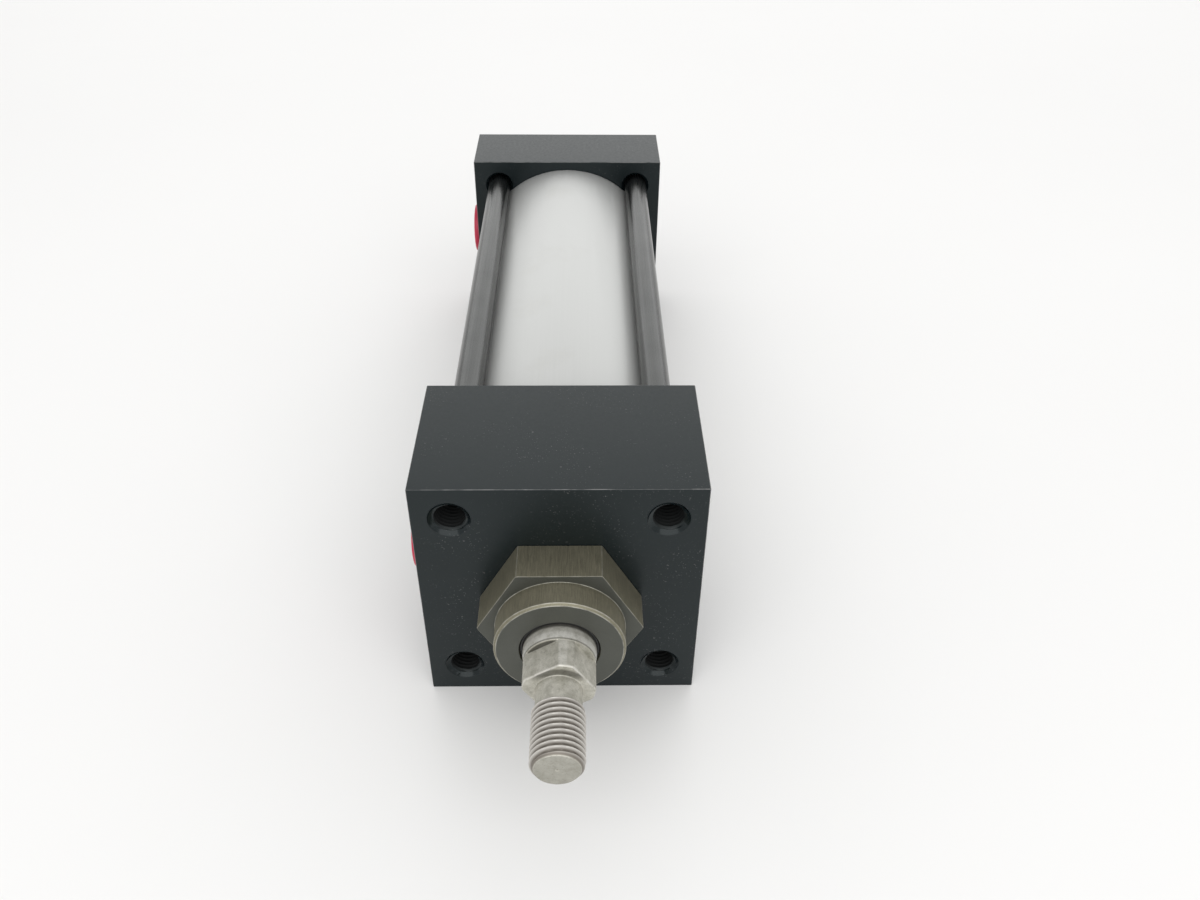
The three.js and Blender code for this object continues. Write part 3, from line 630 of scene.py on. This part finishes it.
def polygon_radius(angles, across_flats, sides, turn=0.0, corner=0.0):
    """Distance from the centre to a regular polygon's side at each angle, its corners rounded by a radius."""
    step = 2 * math.pi / sides
    offset = (angles - turn + step / 2) % step - step / 2
    inner = across_flats / 2 - corner
    reach = inner / math.cos(step / 2)
    flat = across_flats / 2 / np.cos(offset)
    beyond = step / 2 - np.abs(offset)
    along = reach * np.cos(beyond)
    across = reach * np.sin(beyond)
    arc = along + np.sqrt(np.maximum(corner**2 - across**2, 0))
    on_arc = np.abs(flat * np.sin(offset)) > inner * math.tan(step / 2)
    return np.where(on_arc, arc, flat)


def thread_radius(angles, depth, pitch, crest, root):
    """Radius of a right-hand screw thread with flat crests and roots at each angle of one ring."""
    phase = (depth / pitch - angles / (2 * math.pi)) % 1
    slope = np.clip((np.abs(phase - 0.5) * 2 - THREAD_CREST) / THREAD_FLANK, 0, 1)
    return crest - (crest - root) * slope


def threaded_column(radius, root, pitch, start, end, sides, per_turn):
    """Rings of a screw thread from one depth to another."""
    angles = full_turn(sides)
    count = int(round((end - start) / pitch * per_turn))
    depths = np.linspace(start, end, count + 1)
    return [(thread_radius(angles, depth, pitch, radius, root), depth) for depth in depths]


def carve(piece, cutters, material):
    """Cuts every cutter out of the piece, removes the cutters and shades the result."""
    for cutter in cutters:
        modifier = piece.modifiers.new("cut", "BOOLEAN")
        modifier.operation = "DIFFERENCE"
        modifier.solver = "EXACT"
        modifier.object = cutter
    graph = bpy.context.evaluated_depsgraph_get()
    mesh = bpy.data.meshes.new_from_object(piece.evaluated_get(graph))
    piece.modifiers.clear()
    piece.data = mesh
    for cutter in cutters:
        bpy.data.objects.remove(cutter)
    mesh.materials.clear()
    mesh.materials.append(material)
    mesh.shade_smooth()
    mesh.set_sharp_from_angle(angle=SHARP_ANGLE)


def flatten_shading(piece):
    """Large faces keep a flat shade beside their softened edges."""
    modifier = piece.modifiers.new("flat_faces", "WEIGHTED_NORMAL")
    modifier.keep_sharp = True
    modifier.weight = 100


def beside_axis(x, z):
    """The place of a piece whose own axis runs beside the cylinder's."""
    return Matrix.Translation((x, FACE_Y, AXIS_Z + z))


CORNER_SIDES = ((-1, 1), (1, 1), (-1, -1), (1, -1))
CORNERS = [beside_axis(x * TIE_ROD_OFFSET, z * TIE_ROD_OFFSET) for x, z in CORNER_SIDES]


def settle(piece, body, slot, *nodes):
    """Puts a finished piece on its body, in place of CAD nodes."""
    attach(piece, body)
    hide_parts(*nodes)


# ---------------------------------------------------------------- blocks


def soft_block(name, low, high):
    """A box between two corners with its edges rounded."""
    bm = bmesh.new()
    bmesh.ops.create_cube(bm, size=1.0)
    for vertex in bm.verts:
        vertex.co = Vector((low[i] if vertex.co[i] < 0 else high[i]) for i in range(3))
    bmesh.ops.bevel(bm, geom=bm.edges[:], offset=BLOCK_EDGE, segments=3, profile=0.5, affect="EDGES")
    return finish_mesh(name, bm, None)


def port_cutter(depth):
    """The port's tapered mouth, and the drilling on to the cylinder's axis."""
    side = Matrix.Translation((HEAD_LOW.x, FACE_Y + depth, AXIS_Z)) @ Matrix.Rotation(math.pi / 2, 4, "Z")
    mouth = [
        (PORT_RADIUS + 1.2 * MM, OVERCUT),
        (PORT_RADIUS + 0.2 * MM, 0),
        (PORT_RADIUS, -0.8 * MM),
        (PORT_RADIUS - 0.25 * MM, -PORT_DEPTH),
        (PORT_DRILL_RADIUS, -PORT_DEPTH - 1.5 * MM),
        (PORT_DRILL_RADIUS, -WIDTH / 2),
    ]
    return lathe("port_cutter", mouth, None, sides=64, place=side)


def head_cutters():
    """The gland's hole, the tube's socket, the port and the four tapped corner holes."""
    rear = HEAD_DEPTH
    gland_hole = [
        (GLAND_HOLE_RADIUS, -OVERCUT),
        (GLAND_HOLE_RADIUS, GLAND_HOLE_DEPTH),
        (CAVITY_RADIUS, GLAND_HOLE_DEPTH),
        (CAVITY_RADIUS, rear + OVERCUT),
    ]
    cutters = [lathe("gland_cutter", gland_hole, None)]
    cutters.append(socket_cutter(rear - TUBE_SOCKET_DEPTH, rear + OVERCUT))
    cutters.append(port_cutter((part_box("port_plug_head")[0].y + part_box("port_plug_head")[1].y) / 2 - FACE_Y))
    angles = full_turn(40)
    widen = (COUNTERSINK_RADIUS - MOUNTING_HOLE_RADIUS) / COUNTERSINK_DEPTH
    rings = [
        (COUNTERSINK_RADIUS + widen * OVERCUT, -OVERCUT),
        (COUNTERSINK_RADIUS, 0),
        (COUNTERSINK_RADIUS - widen * COUNTERSINK_FLOOR, COUNTERSINK_FLOOR),
    ]
    rings += threaded_column(
        MOUNTING_THREAD_RADIUS,
        MOUNTING_HOLE_RADIUS,
        TIE_ROD_PITCH,
        MOUNTING_THREAD_START,
        MOUNTING_HOLE_DEPTH,
        sides=len(angles),
        per_turn=8,
    )
    rings += [
        (TIE_ROD_HOLE_RADIUS, MOUNTING_HOLE_DEPTH + 0.2 * MM),
        (TIE_ROD_HOLE_RADIUS, rear - 1 * MM),
        (COUNTERSINK_RADIUS, rear),
        (COUNTERSINK_RADIUS + OVERCUT, rear + OVERCUT),
    ]
    for place in CORNERS:
        cutters.append(finish_mesh("hole_cutter", ring_stack(rings, angles, place), None))
    return cutters


def socket_cutter(start, end):
    """The ring-shaped socket that holds an end of the tube."""
    outline = [
        (BORE_RADIUS - 0.2 * MM, start),
        (TUBE_RADIUS + 0.1 * MM, start),
        (TUBE_RADIUS + 0.1 * MM, end),
        (BORE_RADIUS - 0.2 * MM, end),
    ]
    return lathe("socket_cutter", outline, None, sides=128, closed=True)


def cap_cutters():
    """The cavity, the tube's socket, the port and the tie rods' four holes with their nuts' recesses."""
    start, end = CAP_START, CAP_END
    cavity = [(CAVITY_RADIUS, start - OVERCUT), (CAVITY_RADIUS, start + CAP_CAVITY_DEPTH)]
    cutters = [lathe("cavity_cutter", cavity, None)]
    cutters.append(socket_cutter(start - OVERCUT, start + TUBE_SOCKET_DEPTH))
    cutters.append(port_cutter((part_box("port_plug_cap")[0].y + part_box("port_plug_cap")[1].y) / 2 - FACE_Y))
    rod_hole = [
        (COUNTERSINK_RADIUS + OVERCUT, start - OVERCUT),
        (COUNTERSINK_RADIUS, start),
        (TIE_ROD_HOLE_RADIUS, start + 1 * MM),
        (TIE_ROD_HOLE_RADIUS, end - NUT_RECESS_DEPTH),
        (NUT_RECESS_RADIUS, end - NUT_RECESS_DEPTH),
        (NUT_RECESS_RADIUS, end - 0.3 * MM),
        (NUT_RECESS_RADIUS + 0.3 * MM, end),
        (NUT_RECESS_RADIUS + 1.3 * MM, end + OVERCUT),
    ]
    for place in CORNERS:
        cutters.append(lathe("hole_cutter", rod_hole, None, sides=48, place=place))
    return cutters


def add_blocks():
    for name, low, high, cutters in (
        ("head", HEAD_LOW, HEAD_HIGH, head_cutters()),
        ("cap", CAP_LOW, CAP_HIGH, cap_cutters()),
    ):
        shell = soft_block(f"{name}_block", low, high)
        carve(shell, cutters, black_anodised(f"black_anodised_{name}", low, high))
        flatten_shading(shell)
        settle(shell, "barrel", "black_anodised_block", name)


# ---------------------------------------------------------------- tube and tie rods


def add_tube():
    low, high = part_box("tube")
    start, end = low.y - FACE_Y, high.y - FACE_Y
    soft = 0.4 * MM
    outline = [
        (BORE_RADIUS, start, soft),
        (TUBE_RADIUS, start, soft),
        (TUBE_RADIUS, end, soft),
        (BORE_RADIUS, end, soft),
    ]
    tube = lathe("tube_barrel", outline, clear_anodised(), sides=192, closed=True)
    settle(tube, "barrel", "clear_anodised_tube", "tube")


def add_tie_rods():
    steel = tie_rod_steel()
    black = machined("nut_steel", (0.02, 0.02, 0.02), (0.05, 0.05, 0.05), 0.4)
    angles = full_turn(72)
    for number, place in enumerate(CORNERS, start=1):
        low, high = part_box(f"tie_rod_{number}")
        start, end = low.y - FACE_Y, high.y - FACE_Y
        chamfer = 0.6 * MM
        outline = [
            (TIE_ROD_RADIUS - chamfer, start),
            (TIE_ROD_RADIUS, start + chamfer),
            (TIE_ROD_RADIUS, end - chamfer),
            (TIE_ROD_RADIUS - chamfer, end),
        ]
        rod = lathe(f"tie_rod_shank_{number}", outline, steel, sides=72, place=place)
        settle(rod, "barrel", "tie_rod_steel", f"tie_rod_{number}")

        low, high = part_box(f"tie_rod_nut_{number}")
        seat, top = low.y - FACE_Y, high.y - FACE_Y
        radius = (high.x - low.x) / 2
        socket = polygon_radius(angles, NUT_SOCKET_ACROSS_FLATS, 6)
        rings = [
            (TIE_ROD_HOLE_RADIUS, seat),
            (radius - 0.4 * MM, seat),
            (radius, seat + 0.4 * MM),
            (radius, top - 0.6 * MM),
            (radius - 0.2 * MM, top - 0.2 * MM),
            (radius - 0.6 * MM, top),
            (socket + 0.35 * MM, top),
            (socket, top - 0.35 * MM),
            (socket, top - NUT_SOCKET_DEPTH),
            (TIE_ROD_HOLE_RADIUS, top - NUT_SOCKET_DEPTH),
        ]
        nut = finish_mesh(f"tie_rod_nut_body_{number}", ring_stack(rings, angles, place, closed=True), black)
        settle(nut, "barrel", "nut_steel", f"tie_rod_nut_{number}")


# ---------------------------------------------------------------- gland


def add_gland():
    """The gland and its wiper; returns the rubber, which the other seals share."""
    angles = full_turn(240)
    hexagon = polygon_radius(angles, GLAND_ACROSS_FLATS, 6, corner=0.5 * MM)
    hex_face = -GLAND_HEX_HEIGHT
    edge = GLAND_EDGE
    wiper_from = PILOT_FACE + WIPER_INSET
    wiper_to = wiper_from + WIPER_LENGTH
    seal_from = wiper_to + SEAL_SPACING
    seal_to = seal_from + SEAL_LENGTH
    front = rounded(
        [
            (WIPER_MOUTH_RADIUS, wiper_from),
            (WIPER_MOUTH_RADIUS, PILOT_FACE, 0.15 * MM),
            (PILOT_RADIUS - PILOT_CHAMFER, PILOT_FACE, 0.1 * MM),
            (PILOT_RADIUS, PILOT_FACE + PILOT_CHAMFER, 0.1 * MM),
            (PILOT_RADIUS, hex_face, 0.1 * MM),
            (PILOT_RADIUS + 0.3 * MM, hex_face),
        ]
    )
    rings = front + [
        (hexagon - edge, hex_face),
        (hexagon - edge / 4, hex_face + edge / 4),
        (hexagon, hex_face + edge),
        (hexagon, -edge),
        (hexagon - edge, -0.05 * MM),
        (GLAND_BODY_RADIUS, -0.05 * MM),
    ]
    rings += threaded_column(
        GLAND_BODY_RADIUS,
        GLAND_BODY_RADIUS - GLAND_THREAD_DEPTH,
        GLAND_THREAD_PITCH,
        GLAND_THREAD_START,
        GLAND_THREAD_END,
        sides=len(angles),
        per_turn=6,
    )
    groove = GLAND_BODY_RADIUS - O_RING_GROOVE_DEPTH
    rings += [
        (GLAND_BODY_RADIUS, O_RING_GROOVE_START),
        (groove, O_RING_GROOVE_START),
        (groove, O_RING_GROOVE_END),
        (GLAND_BODY_RADIUS, O_RING_GROOVE_END),
        (GLAND_BODY_RADIUS - 0.5 * MM, GLAND_BODY_LENGTH),
        (GLAND_REAR_RADIUS, GLAND_BODY_LENGTH),
        (GLAND_REAR_RADIUS, seal_to + SEAL_BACKING),
        (GLAND_BORE_RADIUS, seal_to + SEAL_BACKING),
        (GLAND_BORE_RADIUS, seal_to),
        (SEAL_GROOVE_RADIUS, seal_to),
        (SEAL_GROOVE_RADIUS, seal_from),
        (GLAND_BORE_RADIUS, seal_from),
        (GLAND_BORE_RADIUS, wiper_to),
        (WIPER_GROOVE_RADIUS, wiper_to),
        (WIPER_GROOVE_RADIUS, wiper_from),
    ]
    gland = finish_mesh("gland_cartridge", ring_stack(rings, angles, closed=True), oxidised_iron())
    flatten_shading(gland)
    settle(gland, "barrel", "gland_iron", "gland")

    rubber = moulded("seal_rubber", (0.008, 0.008, 0.008), (0.016, 0.016, 0.016), 0.55)
    lip = WIPER_LIP_RADIUS
    outer = WIPER_GROOVE_RADIUS - 0.1 * MM
    wiper_outline = [
        (lip, wiper_from - 0.6 * MM, 0.1 * MM),
        (lip + 0.5 * MM, wiper_from - 0.6 * MM, 0.15 * MM),
        (lip + 0.6 * MM, wiper_from + 0.1 * MM),
        (outer, wiper_from + 0.1 * MM, 0.3 * MM),
        (outer, wiper_to - 0.1 * MM, 0.3 * MM),
        (lip + 0.5 * MM, wiper_to - 0.1 * MM),
    ]
    wiper = lathe("rod_wiper_ring", wiper_outline, rubber, closed=True)
    settle(wiper, "barrel", "seal_rubber", "rod_wiper")
    return rubber


# ---------------------------------------------------------------- rod


def softer_minimum(first, second, reach):
    """The lesser of two radii, with the edge where they meet rounded over about the reach."""
    return -reach * np.log(np.exp(-(first - second) / reach) + 1) + second


def add_rod():
    angles = full_turn(288)
    low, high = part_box("piston_rod")
    tip = low.y - FACE_Y
    rear = high.y - FACE_Y
    square = polygon_radius(angles, ROD_ACROSS_FLATS, 4, math.pi / 4 + ROD_FLATS_TURN)
    flats = softer_minimum(square, ROD_WRENCH_RADIUS, 0.03 * MM)
    root = ROD_STUD_RADIUS - ROD_THREAD_DEPTH
    dimple = ROD_DIMPLE_RADIUS
    rings = [(0.05 * MM, tip + 0.25 * MM), (dimple, tip + 0.02 * MM), (dimple + 0.15 * MM, tip)]
    steps = int(round((ROD_THREAD_END - tip) / ROD_THREAD_PITCH * 14))
    for depth in np.linspace(tip, ROD_THREAD_END, steps + 1):
        chamfer = ROD_STUD_RADIUS - ROD_TIP_CHAMFER + (depth - tip) * 0.9
        runout = ROD_NECK_RADIUS + max(ROD_THREAD_END - depth, 0) * 0.9
        thread = thread_radius(angles, depth, ROD_THREAD_PITCH, ROD_STUD_RADIUS, root)
        rings.append((np.minimum(np.minimum(thread, chamfer), runout), depth))
    soft = ROD_SHOULDER_CHAMFER
    rings += rounded(
        [
            (ROD_NECK_RADIUS, ROD_THREAD_END + 0.2 * MM),
            (ROD_NECK_RADIUS, ROD_SHOULDER, 0.45 * MM),
            (ROD_NECK_RADIUS + 0.8 * MM, ROD_SHOULDER),
        ]
    )
    rings += [
        (flats - soft, ROD_SHOULDER),
        (flats - soft * 0.55, ROD_SHOULDER + soft * 0.12),
        (flats - soft * 0.16, ROD_SHOULDER + soft * 0.5),
        (flats, ROD_SHOULDER + soft),
        (flats, ROD_FLATS_END - 0.25 * MM),
        (flats + 0.05 * MM, ROD_FLATS_END - 0.06 * MM),
        (ROD_WRENCH_RADIUS - 0.06 * MM, ROD_FLATS_END),
        (ROD_WRENCH_RADIUS, ROD_FLATS_END + 0.1 * MM),
        (ROD_WRENCH_RADIUS, ROD_TAPER_START - ROD_TAPER_LENGTH),
        (ROD_RADIUS, ROD_TAPER_START),
    ]
    piston_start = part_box("piston")[0].y - FACE_Y
    piston_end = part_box("piston")[1].y - FACE_Y
    rings += [
        (ROD_RADIUS, piston_start - 0.25 * MM),
        (ROD_RADIUS - 0.2 * MM, piston_start - 0.05 * MM),
        (ROD_SPIGOT_RADIUS, piston_start - 0.05 * MM),
        (ROD_SPIGOT_RADIUS, piston_end - 1 * MM),
        (ROD_REAR_THREAD_RADIUS, piston_end - 0.5 * MM),
        (ROD_REAR_THREAD_RADIUS, rear - 0.8 * MM),
        (ROD_REAR_THREAD_RADIUS - 0.8 * MM, rear),
    ]
    rod = finish_mesh("piston_rod_shaft", ring_stack(rings, angles), rod_steel(), sharp=ROD_SHARP_ANGLE)
    bm = bmesh.new()
    bm.from_mesh(rod.data)
    bmesh.ops.remove_doubles(bm, verts=bm.verts, dist=1e-7)
    bmesh.ops.dissolve_degenerate(bm, edges=bm.edges, dist=1e-7)
    bm.to_mesh(rod.data)
    bm.free()
    flatten_shading(rod)
    settle(rod, "piston_and_rod", "rod_steel", "piston_rod")


# ---------------------------------------------------------------- port plugs


def add_plugs():
    red = moulded("red_plug_plastic", (0.42, 0.012, 0.045), (0.56, 0.02, 0.07), 0.38, subsurface=0.15)
    for name in ("head", "cap"):
        low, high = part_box(f"port_plug_{name}")
        place = Matrix.Translation((low.x + PLUG_FLANGE, (low.y + high.y) / 2, (low.z + high.z) / 2))
        place = place @ Matrix.Rotation(math.pi / 2, 4, "Z")
        length = high.x - low.x - PLUG_FLANGE
        radius = (high.y - low.y) / 2
        hollow_floor = PLUG_FLANGE - PLUG_HOLLOW_DEPTH
        outline = [
            (PLUG_CENTRE_RADIUS, -length),
            (PLUG_END_RADIUS, -length, PLUG_FILLET),
            (PLUG_SHANK_RADIUS, 0, 0.2 * MM),
            (radius, 0, PLUG_FILLET),
            (radius, PLUG_FLANGE, 0.7 * MM),
            (PLUG_MOUTH_RADIUS, PLUG_FLANGE, PLUG_FILLET),
            (PLUG_FLOOR_RADIUS, hollow_floor, PLUG_FILLET),
            (PLUG_CENTRE_RADIUS, hollow_floor),
        ]
        plug = lathe(f"port_plug_{name}_moulding", outline, red, sides=80, place=place)
        settle(plug, f"{name}_plug", "red_plug_plastic", f"port_plug_{name}")


# ---------------------------------------------------------------- inner pieces


def repaint(material, *nodes):
    """Gives CAD nodes that stay as they are a finished material."""
    for node in nodes:
        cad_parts[node].material_slots[0].material = material


def finish_inner_pieces(rubber):
    aluminium = machined("piston_aluminium", (0.5, 0.51, 0.51), (0.66, 0.67, 0.67), 0.4)
    bronze = machined("bushing_bronze", (0.38, 0.22, 0.08), (0.52, 0.33, 0.13), 0.42)
    black = machined("piston_nut_steel", (0.02, 0.02, 0.02), (0.05, 0.05, 0.05), 0.4)
    amber = moulded("bumper_urethane", (0.28, 0.12, 0.03), (0.42, 0.2, 0.06), 0.4)
    tape = moulded("wear_band_tape", (0.02, 0.08, 0.06), (0.04, 0.12, 0.1), 0.5)
    repaint(rubber, "rod_seal", "gland_o_ring", "tube_seal_head", "tube_seal_cap")
    repaint(rubber, "piston_seal_front", "piston_seal_rear", "piston_o_ring")
    repaint(aluminium, "piston")
    repaint(bronze, "rod_bushing")
    repaint(black, "piston_nut")
    repaint(amber, "bumper_front", "bumper_rear")
    repaint(tape, "piston_wear_band")


# ---------------------------------------------------------------- build

add_camera()
add_lights()
add_floor()
add_blocks()
add_tube()
add_tie_rods()
seal_rubber = add_gland()
add_rod()
add_plugs()
finish_inner_pieces(seal_rubber)

bpy.context.scene.view_settings.view_transform = "Standard"
